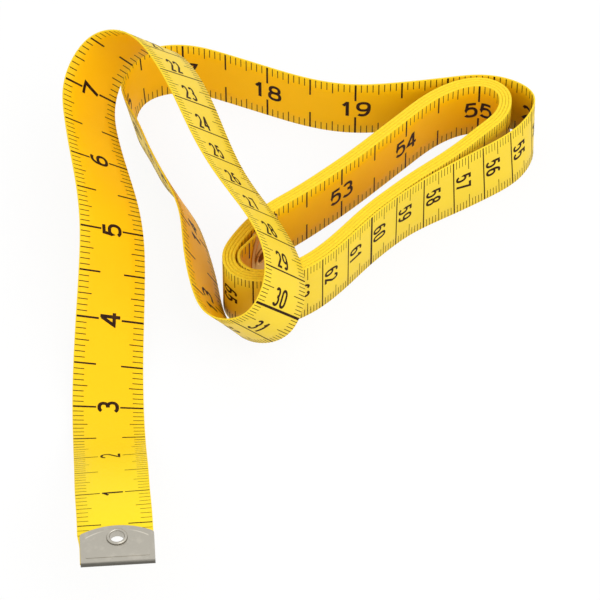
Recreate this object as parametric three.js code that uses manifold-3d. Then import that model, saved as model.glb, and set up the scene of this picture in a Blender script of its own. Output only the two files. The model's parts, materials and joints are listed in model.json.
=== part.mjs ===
// A tailor's cloth tape measure, 60 in (152.4 cm) long, lying half unwound on a table.
//
// The zero end with its metal clip curls up off the table, the tape rises into a leaning loop,
// drops round the end of its own coil, runs back on edge and winds into a long flat coil.
// Lengths are millimetres, angles are degrees, +Z is up and the table is z = 0. The printed marks
// fix the route: each of its rows is the place of one half-inch mark of the tape.

import * as THREE from 'three';
import { mergeVertices } from 'three/addons/utils/BufferGeometryUtils.js';
import Module from 'manifold-3d';

const wasm = await Module();
wasm.setup();

// Tape
const TAPE_LENGTH = 1524;
const TAPE_WIDTH = 18.5;
const TAPE_THICKNESS = 0.42;
const MARK_STEP = 12.7;            // tape between two rows of the route
const JOIN_GAP = 0.3;              // gap between two neighbouring stretches of the tape
const FREE_END_LENGTH = 76.2;      // stretch that stands off the table and flexes
const FIRST_LOOP_END = 304.8;      // where the leaning loop has come down beside the coil

// Coil
const COIL_GAP = 0.45;             // air between two turns
const COIL_TURNS = 4.194;          // from the first point of the outline to the innermost turn's bend

// End clips, folded from sheet metal over each end of the tape
const SHEET = 0.3;
const CLIP_WIDTH = 18;
const CLIP_SHIFT = 0.4;            // the clip sits a little off the middle of the tape
const CLIP_LENGTH = 11.9;          // from the fold to the crown of the arched edge
const CLIP_RISE = 2.4;             // crown above the corners of the arched edge
const CLIP_CORNER = 1.0;           // corner radius at both ends of the arch
const CLIP_CLEARANCE = 0.15;       // sheet to tape
const PANEL_INSET = 1.3;           // flat rim round the raised panel
const PANEL_RAISE = 0.12;
const PANEL_CORNER = 0.5;

// Eyelets, set through clip and tape
const EYELET_FROM_FOLD = 8.1;
const EYELET_BORE = 3.3;
const EYELET_WALL = 0.25;
const EYELET_RIM = 4.9;            // outside diameter of the rolled rim
const EYELET_RIM_HEIGHT = 0.4;
const EYELET_CLEARANCE = 0.12;

// Fineness of the facets
const LONGEST_STEP = 4;
const LARGEST_TURN = 6;            // degrees from one cross-section to the next
const ROUND_STEPS = 32;

// Free tape. One row for each half-inch mark from zero on: the middle of the tape, then how far its
// left-to-right direction leans down from level, and that direction's bearing from +X. The zero mark
// lies in the clip, which is straight, so its row only turns the clip.
const ROUTE = [
  [-44.1, -94.2, 24.1, -0.5, 5],
  [-44.7, -81.2, 25.2, -0.5, 5],
  [-45.8, -69.0, 22.3, -0.5, 5],
  [-46.7, -57.6, 16.8, -0.5, 5],
  [-47.6, -47.0, 10.0, -0.5, 5],
  [-48.5, -35.9, 3.9, 2, 4],
  [-49.3, -23.6, 1.6, 6.5, 3],
  [-49.6, -11.2, 4.0, 13.5, 4.5],
  [-49.4, 0.5, 8.8, 18, 6.5],
  [-49.1, 11.9, 14.2, 22, 8.5],
  [-49.4, 23.4, 18.5, 26, 10],
  [-51.1, 35.5, 20.1, 30.5, 10.5],
  [-53.6, 47.4, 20.3, 35, 10],
  [-56.0, 59.4, 20.6, 39.5, 9.5],
  [-56.7, 71.4, 23.0, 44, 11.5],
  [-51.0, 79.7, 29.9, 48, 20.5],
  [-41.1, 77.1, 35.9, 45, 30],
  [-33.7, 67.6, 36.7, 43.5, 31],
  [-28.4, 56.7, 34.7, 45, 31.5],
  [-23.8, 45.3, 32.1, 47, 32.5],
  [-18.7, 34.4, 30.0, 48, 33],
  [-12.5, 23.5, 29.1, 48, 33],
  [-6.6, 12.5, 27.8, 49.5, 33.5],
  [-3.7, 0.7, 24.3, 49, 32.5],
  [-8.1, -7.7, 16.9, 47.5, 26],
  [-17.8, -3.8, 10.5, 51, 18],
  [-23.7, 7.2, 8.6, 60, 14],
  [-26.1, 19.6, 8.7, 62, 14],
  [-28.1, 32.0, 8.6, 66.5, 14],
  [-32.0, 43.9, 8.8, 67.5, 30],
  [-37.9, 55.0, 9.1, 71, 26],
  [-42.6, 66.6, 8.9, 74.5, 18],
  [-46.9, 78.4, 9.1, 79, 5.5],
  [-43.7, 90.2, 9.2, 85, -17.5],
];

// From here on the tape stands on its lower edge, and a row is only the plan point of its mark.
const STANDING_ROUTE = [
  [-32.3, 94.1], [-20.4, 90.6], [-8.8, 85.5], [3.0, 80.8], [15.4, 78.5], [28.1, 79.4], [40.7, 81.3],
  [53.3, 81.6], [63.1, 74.5], [60.8, 62.5], [51.5, 54.0], [40.8, 47.1], [30.4, 39.9],
];

// Plan of the coil's outermost turn, in the direction of winding. The free tape joins it at the
// first point, and every further turn lies one pitch inside the one before.
const COIL_OUTLINE = [
  [21.4, 31.2], [12.6, 20.5], [5.2, 12.7], [-3.1, 7.4], [-12.0, 5.7], [-17.9, 8.6], [-20.0, 14.4],
  [-17.5, 21.8], [-9.0, 32.9], [-2.8, 38.0], [5.6, 45.4], [12.8, 52.3], [19.1, 58.9], [27.4, 67.8],
  [34.2, 74.7], [41.2, 79.5], [47.4, 81.5], [52.9, 80.8], [57.3, 76.8], [58.1, 71.6], [56.0, 65.6],
  [51.8, 60.7], [45.7, 54.2], [38.7, 47.6], [31.3, 41.1], [26.3, 36.2],
];

// Where the winding ends the innermost turn bends sharply round to the far clip, which lies straight
// inside the coil. Its points count ahead and inwards from the winding's end.
const INNER_TURN = [[2.4, 0.9], [4.7, 3.8], [4.6, 7.0]];
const FAR_CLIP_TURN = 119;         // between the winding's end and the clip
const FAR_CLIP_LEAD = 3.7;         // straight tape before the clip

// Natural cubic spline through rows of numbers that belong to rising knots.
function spline(knots, rows) {
  const last = rows.length - 1;
  const gap = (i) => knots[i + 1] - knots[i];
  const slope = (i, c) => (rows[i + 1][c] - rows[i][c]) / gap(i);
  const bend = rows.map((row) => row.map(() => 0));
  const ratio = [0];
  for (let i = 1; i < last; i++) {
    const pivot = 2 * (gap(i - 1) + gap(i)) - gap(i - 1) * ratio[i - 1];
    ratio.push(gap(i) / pivot);
    bend[i] = rows[i].map((_, c) => {
      const change = 6 * (slope(i, c) - slope(i - 1, c));
      return (change - gap(i - 1) * bend[i - 1][c]) / pivot;
    });
  }
  for (let i = last - 1; i > 0; i--) {
    bend[i] = bend[i].map((value, c) => value - ratio[i] * bend[i + 1][c]);
  }
  return (at) => {
    let i = 0;
    while (i < last - 1 && at > knots[i + 1]) i++;
    const h = gap(i);
    const f = (at - knots[i]) / h;
    const g = 1 - f;
    return rows[i].map((value, c) => g * value + f * rows[i + 1][c]
      + ((g ** 3 - g) * bend[i][c] + (f ** 3 - f) * bend[i + 1][c]) * h * h / 6);
  };
}

function chordKnots(points, start) {
  const knots = [start];
  for (let i = 1; i < points.length; i++) {
    const [x0, y0] = points[i - 1];
    const [x1, y1] = points[i];
    knots.push(knots[i - 1] + Math.hypot(x1 - x0, y1 - y0));
  }
  return knots;
}

// The winding, as plan points along its length: the outline repeated, drawn in by the pitch.
function windCoil(lengthBefore) {
  const overlap = 4;
  const closed = [...COIL_OUTLINE.slice(-overlap), ...COIL_OUTLINE, ...COIL_OUTLINE.slice(0, overlap)];
  const knots = chordKnots(closed, 0);
  const outline = spline(knots, closed);
  const begin = knots[overlap];
  const round = knots[overlap + COIL_OUTLINE.length] - begin;
  const steps = Math.round(900 * COIL_TURNS);
  const pitch = TAPE_THICKNESS + COIL_GAP;
  const pointAt = (turns) => {
    const at = begin + (turns % 1) * round;
    const [x, y] = outline(at);
    const [x0, y0] = outline(at - 0.01);
    const [x1, y1] = outline(at + 0.01);
    const span = Math.hypot(x1 - x0, y1 - y0);
    const inward = pitch * turns;
    return [x + inward * (y1 - y0) / span, y - inward * (x1 - x0) / span];
  };
  const points = [];
  const lengths = [];
  let length = lengthBefore;
  for (let i = 0; i <= steps; i++) {
    const point = pointAt(COIL_TURNS * i / steps);
    const before = points.at(-1) ?? point;
    length += Math.hypot(point[0] - before[0], point[1] - before[1]);
    points.push(point);
    lengths.push(length);
  }
  return { points, lengths };
}

// Every row of the centre line after the free tape: some of the winding's points and the last bend.
function coilRows(lengthBefore) {
  const { points, lengths } = windCoil(lengthBefore);
  const every = 8;
  const kept = points.map((_, i) => i).filter((i) => i % every === 0 && i < points.length - every);
  const rows = kept.map((i) => points[i]);
  const end = new THREE.Vector2(...points.at(-1));
  const ahead = end.clone().sub(new THREE.Vector2(...points.at(-2))).normalize();
  const inside = new THREE.Vector2(ahead.y, -ahead.x);
  const bend = INNER_TURN.map(([far, deep]) => {
    return end.clone().addScaledVector(ahead, far).addScaledVector(inside, deep);
  });
  const clipWay = ahead.clone().rotateAround(new THREE.Vector2(), THREE.MathUtils.degToRad(-FAR_CLIP_TURN));
  const lead = [0.5, 1].map((part) => bend.at(-1).clone().addScaledVector(clipWay, part * FAR_CLIP_LEAD));
  const last = [end, ...bend, ...lead].map((point) => point.toArray());
  rows.push(...last);
  const knots = kept.map((i) => lengths[i]);
  knots.push(...chordKnots(last, lengths.at(-1)));
  return { rows, knots };
}

// Middle, direction and left-to-right direction of the tape at any length s from its zero. The
// table holds it up: no edge lies lower than z = 0. The far clip follows the last row, so a longer
// tape reaches further at its free end.
function makeTapeLine() {
  const standing = (plan) => [plan[0], plan[1], TAPE_WIDTH / 2, 0, 0, -1];
  const rows = ROUTE.map(([x, y, z, lean, bearing]) => {
    const down = THREE.MathUtils.degToRad(lean);
    const turn = THREE.MathUtils.degToRad(bearing);
    const level = Math.cos(down);
    return [x, y, z, level * Math.cos(turn), level * Math.sin(turn), -Math.sin(down)];
  });
  rows.push(...STANDING_ROUTE.map(standing));
  const knots = rows.map((_, i) => i * MARK_STEP);
  const coilStart = rows.length * MARK_STEP;
  const coil = coilRows(coilStart);
  rows.push(...coil.rows.map(standing));
  knots.push(...coil.knots);
  const line = spline(knots, rows);

  const onSpline = (s) => {
    const row = line(s);
    const before = line(s - 0.05);
    const after = line(s + 0.05);
    const middle = new THREE.Vector3(row[0], row[1], row[2]);
    const along = new THREE.Vector3(after[0] - before[0], after[1] - before[1], after[2] - before[2]);
    along.normalize();
    const across = new THREE.Vector3(row[3], row[4], row[5]);
    across.addScaledVector(along, -across.dot(along)).normalize();
    const depth = (TAPE_WIDTH * Math.abs(across.z) + TAPE_THICKNESS * Math.hypot(across.x, across.y)) / 2;
    middle.z = Math.max(middle.z, depth);
    return { middle, along, across };
  };
  const lastStraight = knots.at(-1);
  const zero = lastStraight + CLIP_LENGTH - TAPE_LENGTH;
  const firstStraight = Math.max(knots[0], zero + CLIP_LENGTH);
  const frameAt = (s) => {
    const at = zero + s;
    const held = THREE.MathUtils.clamp(at, firstStraight, lastStraight);
    const frame = onSpline(held);
    frame.middle.addScaledVector(frame.along, at - held);
    return frame;
  };
  return { frameAt, zero, coilStart: coilStart - zero };
}

const { frameAt, zero, coilStart } = makeTapeLine();

// Lengths at which a stretch of tape has a cross-section, closer together where it bends.
function sections(from, to) {
  const probe = 0.25;
  const turn = THREE.MathUtils.degToRad(LARGEST_TURN);
  const marks = [from];
  let s = from;
  let way = frameAt(from);
  for (let at = from + probe; at < to - probe; at += probe) {
    const next = frameAt(at);
    const turned = Math.max(way.along.angleTo(next.along), way.across.angleTo(next.across));
    if (turned > turn || at - s > LONGEST_STEP) {
      marks.push(at);
      s = at;
      way = next;
    }
  }
  marks.push(to);
  return marks;
}

// Four corners of the tape's cross-section, in order round it.
function corners(s) {
  const { middle, along, across } = frameAt(s);
  const up = new THREE.Vector3().crossVectors(across, along);
  const at = (side, face) => middle.clone()
    .addScaledVector(across, side * TAPE_WIDTH / 2)
    .addScaledVector(up, face * TAPE_THICKNESS / 2);
  return [at(-1, 1), at(1, 1), at(1, -1), at(-1, -1)];
}

function ribbon(from, to) {
  const rings = sections(from, to).map(corners);
  const positions = rings.flat().flatMap((corner) => corner.toArray());
  const index = [];
  const quad = (a, b, c, d) => index.push(a, b, c, a, c, d);
  for (let ring = 0; ring < rings.length - 1; ring++) {
    const here = 4 * ring;
    quad(here, here + 1, here + 5, here + 4);
    quad(here + 1, here + 2, here + 6, here + 5);
    quad(here + 3, here + 7, here + 6, here + 2);
    quad(here + 3, here, here + 4, here + 7);
  }
  const end = 4 * (rings.length - 1);
  quad(3, 2, 1, 0);
  quad(end, end + 1, end + 2, end + 3);
  const geometry = new THREE.BufferGeometry();
  geometry.setAttribute('position', new THREE.Float32BufferAttribute(positions, 3));
  geometry.setIndex(index);
  return geometry;
}

// Closed three.js geometry to a solid that can be joined and cut, and back.
function toSolid(geometry) {
  const bare = geometry.clone();
  bare.deleteAttribute('normal');
  bare.deleteAttribute('uv');
  const merged = mergeVertices(bare, 1e-4);
  const mesh = new wasm.Mesh({
    numProp: 3,
    vertProperties: new Float32Array(merged.attributes.position.array),
    triVerts: new Uint32Array(merged.index.array),
  });
  return new wasm.Manifold(mesh);
}

function toGeometry(solid) {
  const mesh = solid.getMesh();
  const geometry = new THREE.BufferGeometry();
  geometry.setAttribute('position', new THREE.BufferAttribute(mesh.vertProperties, 3));
  geometry.setIndex(new THREE.BufferAttribute(mesh.triVerts, 1));
  geometry.computeVertexNormals();
  return geometry;
}

// In an end's own frame x runs across the tape, y from the fold into the tape, z out of the face.
const CLIP_INSIDE = TAPE_THICKNESS / 2 + CLIP_CLEARANCE;
const CLIP_OUTSIDE = CLIP_INSIDE + SHEET;
const PANEL_TOP = CLIP_OUTSIDE + PANEL_RAISE;

// Outline of a clip seen square on: straight sides, rounded corners and an arched upper edge.
function clipOutline(inset, bottom) {
  const half = CLIP_WIDTH / 2 - inset;
  const crown = CLIP_LENGTH - CLIP_OUTSIDE - inset;
  const radius = (half * half + CLIP_RISE * CLIP_RISE) / (2 * CLIP_RISE);
  const corner = inset ? PANEL_CORNER : CLIP_CORNER;
  const centreY = crown - radius;
  const cornerX = half - corner;
  const cornerY = centreY + Math.sqrt((radius - corner) ** 2 - cornerX ** 2);
  const tilt = Math.atan2(cornerY - centreY, cornerX);
  const shape = new THREE.Shape();
  shape.moveTo(-half, bottom);
  shape.lineTo(half, bottom);
  shape.absarc(cornerX, cornerY, corner, 0, tilt, false);
  shape.absarc(0, centreY, radius, tilt, Math.PI - tilt, false);
  shape.absarc(-cornerX, cornerY, corner, Math.PI - tilt, Math.PI, false);
  return shape;
}

function slab(shape, low, high) {
  const settings = { depth: high - low, bevelEnabled: false, curveSegments: 6 };
  const geometry = new THREE.ExtrudeGeometry(shape, settings);
  geometry.translate(0, 0, low);
  return toSolid(geometry);
}

// Sheet folded to a U, drawn along x and then trimmed to the clip's outline.
function foldedSheet() {
  const section = new THREE.Shape();
  section.moveTo(CLIP_LENGTH, CLIP_OUTSIDE);
  section.lineTo(0, CLIP_OUTSIDE);
  section.absarc(0, 0, CLIP_OUTSIDE, Math.PI / 2, 1.5 * Math.PI, false);
  section.lineTo(CLIP_LENGTH, -CLIP_OUTSIDE);
  section.lineTo(CLIP_LENGTH, -CLIP_INSIDE);
  section.lineTo(0, -CLIP_INSIDE);
  section.absarc(0, 0, CLIP_INSIDE, 1.5 * Math.PI, Math.PI / 2, true);
  section.lineTo(CLIP_LENGTH, CLIP_INSIDE);
  const settings = { depth: CLIP_WIDTH, bevelEnabled: false, curveSegments: 8 };
  const geometry = new THREE.ExtrudeGeometry(section, settings);
  geometry.rotateX(Math.PI / 2);
  geometry.rotateZ(Math.PI / 2);
  geometry.translate(-CLIP_WIDTH / 2, 0, 0);
  return toSolid(geometry);
}

function eyeletHole(clearance) {
  const radius = EYELET_BORE / 2 + EYELET_WALL + clearance;
  const geometry = new THREE.CylinderGeometry(radius, radius, 4 * CLIP_OUTSIDE, ROUND_STEPS);
  geometry.rotateX(Math.PI / 2);
  geometry.translate(0, EYELET_FROM_FOLD - CLIP_OUTSIDE, 0);
  return toSolid(geometry);
}

function clipGeometry() {
  const trim = slab(clipOutline(0, -2 * CLIP_OUTSIDE), -2 * CLIP_OUTSIDE, 2 * CLIP_OUTSIDE);
  const panel = clipOutline(PANEL_INSET, PANEL_INSET);
  const sunk = SHEET / 2;
  const front = slab(panel, CLIP_OUTSIDE - sunk, PANEL_TOP);
  const back = slab(panel, -PANEL_TOP, sunk - CLIP_OUTSIDE);
  const body = foldedSheet().intersect(trim).add(front).add(back);
  return toGeometry(body.subtract(eyeletHole(EYELET_CLEARANCE)));
}

// A barrel with a rim rolled over on both faces of the clip.
function eyeletGeometry() {
  const bore = EYELET_BORE / 2;
  const barrel = bore + EYELET_WALL;
  const rim = EYELET_RIM / 2;
  const seat = PANEL_TOP + EYELET_CLEARANCE;
  const steps = 6;
  const half = [new THREE.Vector2(barrel, seat), new THREE.Vector2(rim, seat)];
  const middle = (rim + bore) / 2;
  for (let i = 1; i < steps; i++) {
    const angle = Math.PI * i / steps;
    half.push(new THREE.Vector2(
      middle + (rim - middle) * Math.cos(angle),
      seat + EYELET_RIM_HEIGHT * Math.sin(angle),
    ));
  }
  half.push(new THREE.Vector2(bore, seat));
  const below = half.map((p) => new THREE.Vector2(p.x, -p.y)).reverse();
  const profile = [...below, ...half];
  profile.push(profile[0].clone());
  const geometry = new THREE.LatheGeometry(profile, ROUND_STEPS);
  geometry.rotateX(Math.PI / 2);
  geometry.translate(0, EYELET_FROM_FOLD - CLIP_OUTSIDE, 0);
  return mergeVertices(stripped(geometry), 1e-4);
}

function stripped(geometry) {
  geometry.deleteAttribute('normal');
  geometry.deleteAttribute('uv');
  return geometry;
}

// Place of an end: the tape starts one fold inside the outer edge of its clip.
function endFrame(atFarEnd) {
  const s = atFarEnd ? TAPE_LENGTH - CLIP_OUTSIDE : CLIP_OUTSIDE;
  const { middle, along, across } = frameAt(s);
  const sign = atFarEnd ? -1 : 1;
  const x = across.clone().multiplyScalar(sign);
  const y = along.clone().multiplyScalar(sign);
  const z = new THREE.Vector3().crossVectors(x, y);
  return new THREE.Matrix4().makeBasis(x, y, z).setPosition(middle);
}

// A stretch of tape, with the eyelet's hole where it carries a clip.
function tapeStretch(from, to, holeFrame) {
  const solid = toSolid(ribbon(from, to));
  if (!holeFrame) return toGeometry(solid);
  const hole = eyeletHole(EYELET_CLEARANCE).transform(holeFrame.elements);
  return toGeometry(solid.subtract(hole));
}

// Least distance between tape surfaces of turns that lie side by side, on points of the winding.
function leastCoilGap(from, to) {
  const step = 1;
  const points = [];
  for (let s = from; s < to; s += step) {
    points.push({ s, middle: frameAt(s).middle });
  }
  let least = Infinity;
  const sameTurn = 60;
  for (const here of points) {
    for (const there of points) {
      if (there.s - here.s < sameTurn) continue;
      const { along } = frameAt(here.s);
      const apart = there.middle.clone().sub(here.middle);
      if (Math.abs(apart.dot(along)) > step) continue;
      least = Math.min(least, apart.length() - TAPE_THICKNESS);
    }
  }
  return least;
}

const yellow = new THREE.MeshStandardMaterial({ color: 0xf3cf2a, roughness: 0.5, metalness: 0 });
const steel = new THREE.MeshStandardMaterial({ color: 0xb8b3a8, roughness: 0.35, metalness: 1 });

const zeroEnd = endFrame(false);
const farEnd = endFrame(true);
const halfGap = JOIN_GAP / 2;

const tapeMeasure = new THREE.Group();

function addTape(name, from, to, holeFrame) {
  const mesh = new THREE.Mesh(tapeStretch(from, to, holeFrame), yellow);
  mesh.name = name;
  tapeMeasure.add(mesh);
}

function addEnd(name, frame) {
  const end = new THREE.Group();
  end.applyMatrix4(frame);
  const clip = new THREE.Mesh(clipGeometry(), steel);
  clip.name = `${name}_clip`;
  clip.position.x = CLIP_SHIFT;
  const eyelet = new THREE.Mesh(eyeletGeometry(), steel);
  eyelet.name = `${name}_eyelet`;
  eyelet.position.x = CLIP_SHIFT;
  end.add(clip, eyelet);
  tapeMeasure.add(end);
}

const shifted = (frame) => frame.clone().multiply(new THREE.Matrix4().makeTranslation(CLIP_SHIFT, 0, 0));

addTape('tape_free_end', CLIP_OUTSIDE, FREE_END_LENGTH - halfGap, shifted(zeroEnd));
addTape('tape_first_loop', FREE_END_LENGTH + halfGap, FIRST_LOOP_END - halfGap);
addTape('tape_back_run', FIRST_LOOP_END + halfGap, coilStart - halfGap);
addTape('tape_coil', coilStart + halfGap, TAPE_LENGTH - CLIP_OUTSIDE, shifted(farEnd));
addEnd('zero_end', zeroEnd);
addEnd('far_end', farEnd);

const coilGap = leastCoilGap(coilStart, TAPE_LENGTH - CLIP_LENGTH);
console.log(`Least gap between turns of the coil: ${coilGap.toFixed(3)} mm`);
console.log(`Zero of the tape on its route: ${zero.toFixed(2)} mm`);

export default tapeMeasure;
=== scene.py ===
"""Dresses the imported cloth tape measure: printed band, folded clips, eyelets and a plain stage."""

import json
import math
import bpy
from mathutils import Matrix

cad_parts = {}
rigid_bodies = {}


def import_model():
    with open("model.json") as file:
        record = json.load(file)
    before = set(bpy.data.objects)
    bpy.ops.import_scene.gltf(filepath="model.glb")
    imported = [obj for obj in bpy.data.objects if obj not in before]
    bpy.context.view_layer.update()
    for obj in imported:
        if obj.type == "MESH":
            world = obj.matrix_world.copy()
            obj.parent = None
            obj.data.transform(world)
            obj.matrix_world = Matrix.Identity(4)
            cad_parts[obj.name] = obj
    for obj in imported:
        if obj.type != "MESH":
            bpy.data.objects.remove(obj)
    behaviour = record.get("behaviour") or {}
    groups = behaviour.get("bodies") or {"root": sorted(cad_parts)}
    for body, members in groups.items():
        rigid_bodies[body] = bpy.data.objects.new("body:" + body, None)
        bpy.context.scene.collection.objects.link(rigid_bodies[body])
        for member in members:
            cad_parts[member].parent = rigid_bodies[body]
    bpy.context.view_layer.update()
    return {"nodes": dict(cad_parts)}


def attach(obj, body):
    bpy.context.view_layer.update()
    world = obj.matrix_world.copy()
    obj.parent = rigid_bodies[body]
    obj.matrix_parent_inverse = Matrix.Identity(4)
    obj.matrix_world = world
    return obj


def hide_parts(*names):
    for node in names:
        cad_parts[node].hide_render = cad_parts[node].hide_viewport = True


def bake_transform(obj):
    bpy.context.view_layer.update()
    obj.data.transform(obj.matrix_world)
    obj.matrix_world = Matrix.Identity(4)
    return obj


bl_info = {
    "name": "Cloth tape measure",
    "version": (1, 0, 0),
    "blender": (4, 5, 0),
    "location": "3D View > Sidebar > Tape",
    "description": "Builds a printed tailor's tape round its packed frame",
    "category": "Object",
}

import bmesh
import bpy
import numpy as np
from bpy.props import FloatProperty, FloatVectorProperty, PointerProperty
from mathutils import Matrix, Vector

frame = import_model()

MM = 0.001
INCH = 0.0254
CENTIMETRE = 0.01
FIXED_BODY = "wound_tape"
MOVING_BODY = "free_end"
TAPE_NODES = ("tape_free_end", "tape_first_loop", "tape_back_run", "tape_coil")
ENDS = (("zero_end", MOVING_BODY, False), ("far_end", FIXED_BODY, True))
UV_NAME = "along_tape"
CLIP_UV_NAME = "clip_face"
INCH_SIDE, CENTIMETRE_SIDE, CUT_EDGE = range(3)

# Free tape, in millimetres. One row for each half-inch mark from zero on: the middle of the tape, then
# how far its left-to-right direction leans down from level, and that direction's bearing from +X.
MARK_STEP = 12.7
ROUTE = [
    [-44.1, -94.2, 24.1, -0.5, 5],
    [-44.7, -81.2, 25.2, -0.5, 5],
    [-45.8, -69.0, 22.3, -0.5, 5],
    [-46.7, -57.6, 16.8, -0.5, 5],
    [-47.6, -47.0, 10.0, -0.5, 5],
    [-48.5, -35.9, 3.9, 2, 4],
    [-49.3, -23.6, 1.6, 6.5, 3],
    [-49.6, -11.2, 4.0, 13.5, 4.5],
    [-49.4, 0.5, 8.8, 18, 6.5],
    [-49.1, 11.9, 14.2, 22, 8.5],
    [-49.4, 23.4, 18.5, 26, 10],
    [-51.1, 35.5, 20.1, 30.5, 10.5],
    [-53.6, 47.4, 20.3, 35, 10],
    [-56.0, 59.4, 20.6, 39.5, 9.5],
    [-56.7, 71.4, 23.0, 44, 11.5],
    [-51.0, 79.7, 29.9, 48, 20.5],
    [-41.1, 77.1, 35.9, 45, 30],
    [-33.7, 67.6, 36.7, 43.5, 31],
    [-28.4, 56.7, 34.7, 45, 31.5],
    [-23.8, 45.3, 32.1, 47, 32.5],
    [-18.7, 34.4, 30.0, 48, 33],
    [-12.5, 23.5, 29.1, 48, 33],
    [-6.6, 12.5, 27.8, 49.5, 33.5],
    [-3.7, 0.7, 24.3, 49, 32.5],
    [-8.1, -7.7, 16.9, 47.5, 26],
    [-17.8, -3.8, 10.5, 51, 18],
    [-23.7, 7.2, 8.6, 60, 14],
    [-26.1, 19.6, 8.7, 62, 14],
    [-28.1, 32.0, 8.6, 66.5, 14],
    [-32.0, 43.9, 8.8, 67.5, 30],
    [-37.9, 55.0, 9.1, 75, 26],
    [-42.6, 66.6, 8.9, 78, 18],
    [-46.9, 78.4, 9.1, 79, 5.5],
    [-43.7, 90.2, 9.2, 85, -17.5],
]

# From here on the tape stands on its lower edge. A row is the plan point of its mark, with the lean and
# the bearing where the tape leans back on the coil.
STANDING_ROUTE = [
    [-32.3, 94.1], [-20.4, 90.6], [-8.8, 85.5], [3.0, 80.8], [15.4, 78.5], [28.1, 79.4], [40.7, 81.3],
    [53.5, 81.9], [63.8, 74.8], [60.5, 62.7, 84.5, -29], [51.2, 54.4, 84, -52],
    [40.7, 47.3, 86, -56], [30.4, 39.9],
]

# Plan of the coil's outermost turn, in the direction of winding.
COIL_OUTLINE = [
    [21.4, 31.2], [12.6, 20.5], [5.2, 12.7], [-3.1, 7.4], [-12.0, 5.7], [-17.9, 8.6], [-20.0, 14.4],
    [-17.5, 21.8], [-9.0, 32.9], [-2.8, 38.0], [5.6, 45.4], [12.8, 52.3], [19.1, 58.9], [27.4, 67.8],
    [34.2, 74.7], [41.2, 79.5], [47.4, 81.5], [52.9, 80.8], [57.3, 76.8], [58.1, 71.6], [56.0, 65.6],
    [51.8, 60.7], [45.7, 54.2], [38.7, 47.6], [31.3, 41.1], [26.3, 36.2],
]
COIL_TURNS = 4.194
COIL_SWELL = 40  # tape over which the band grows to its thickness in the coil

# Bend inside the coil: points ahead of the winding's end and in from it. From there the tape leads
# straight to the far clip, turned by degrees from the winding's direction.
INNER_TURN = [[2.4, 0.9], [4.7, 3.8], [4.6, 7.0]]
FAR_CLIP_TURN = 119
FAR_CLIP_LEAD = 3.7

# Clips and eyelets, in millimetres. A clip's own frame starts at the end of the band.
CLIP_LENGTH = 11.9  # from the fold to the crown of the arched edge
CLIP_RISE = 2.4  # crown above the corners of the arched edge
CLIP_SHIFT = 0.4  # middle of the clip beside the middle of the tape
CLIP_FOLD = 0.66  # from the fold to the end of the band
CLIP_ROUND = 0.055  # rounding of the sheet's edges
PANEL_ARCH = 13.55  # radius of the raised panel's arched edge
PANEL_ARCH_CENTRE = -3.61
BAND_TUCK = 0.5  # one edge of the band is drawn in by this under the zero clip
TUCK_RAMP = 3.0
EYELET_FROM_FOLD = 8.1
EYELET_BORE = 3.5
EYELET_WALL = 0.2
EYELET_RIM = 5.1
EYELET_SEAT = 0.9  # underside of a rim from the middle of the tape
EYELET_ROLL = 0.4  # height of a rolled rim
HOLE_PLAY = 0.05  # between the eyelet and its hole in the band
HOLE_DEPTH = 3.0

# Print and cloth, with sizes in millimetres.
PRINT_LAG = 1.17  # the coil's turns are drawn a little short, so its print stands back by up to this
PRINT_LAG_PLACES = (700, 1300, 1425, 1500)  # lengths where the lag starts, is full, fades and ends
INCH_DIGIT_GAP = 0.4
CM_DIGIT_GAP = 0.5
DIGIT_SQUARENESS = 0.84  # power of an arc's sine and cosine, 1 for a plain ellipse
MITRE_LIMIT = 1.8
CM_ZERO = 0.39  # start of the centimetre scale from the zero of the inches
CM_NUMERAL_GAP = 0.75  # from a numeral to its mark
CM_NUMERAL_SHIFT = -0.8  # from the middle of the tape
LIGHT_THINNING = 0.4  # share that the lighter print's marks are thinner by
WHOLE_MARGIN = 0.25  # keeps the sums on whole numbers clear of rounding
THREAD_PITCH = 0.42
INCH_GLOSS = 0.1
CENTIMETRE_GLOSS = 0.35

# Fineness of curves, in millimetres and degrees.
OUTLINE_OVERLAP = 4  # points of the coil's outline that are repeated at its ends
COIL_STEPS = 900  # points in a turn
COIL_ROW_EVERY = 8  # points from one row of the tape's line to the next
BAND_STEP = 1.3  # from one cross-section of the band to the next, at most
BAND_TURN = 2.6
BAND_PROBE = 0.1
GUIDE_STEP = 0.5
DIGIT_STEP = 0.6
DIGIT_ARC_STEP = 12
HOLE_STEPS = 48
EYELET_STEPS = 72
ROLL_STEPS = 12

# Stage, in metres and degrees.
CAMERA_PLACE = (0.0002, -0.6334, 0.71165)
CAMERA_TILT = 42.363
CAMERA_LENS = 217.52
CAMERA_SENSOR = 36.0
CAMERA_NEAR = 0.05
LAMP_TARGET = (0.0, 0.02, 0.01)
KEY_PLACE = (0.5, -0.5, 1.0)
KEY_SIZE = 1.0
FILL_PLACE = (1.0, -0.15, 0.55)
FILL_SIZE = 0.9
FLOOR_HALF = 4.0
FLOOR_DROP = 0.0002
FLOOR_GLOW = 0.9  # share of plain white where the floor is seen
WHITE = (1.0, 1.0, 1.0, 1.0)


def srgb(red, green, blue):
    """A colour as it looks, from 0 to 255, in the linear values that shaders take."""
    def linear(value):
        share = value / 255
        return share / 12.92 if share <= 0.04045 else ((share + 0.055) / 1.055) ** 2.4
    return (linear(red), linear(green), linear(blue))


def power_property(name, description, watts):
    return FloatProperty(name=name, description=description, default=watts, min=0.0, unit="POWER")


def length_property(name, description, millimetres):
    return FloatProperty(name=name, description=description, default=millimetres * MM, min=0.0,
                         precision=5, subtype="DISTANCE", unit="LENGTH")


def colour_property(name, description, red, green, blue):
    return FloatVectorProperty(name=name, description=description, default=srgb(red, green, blue),
                               size=3, min=0.0, max=1.0, subtype="COLOR")


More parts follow.
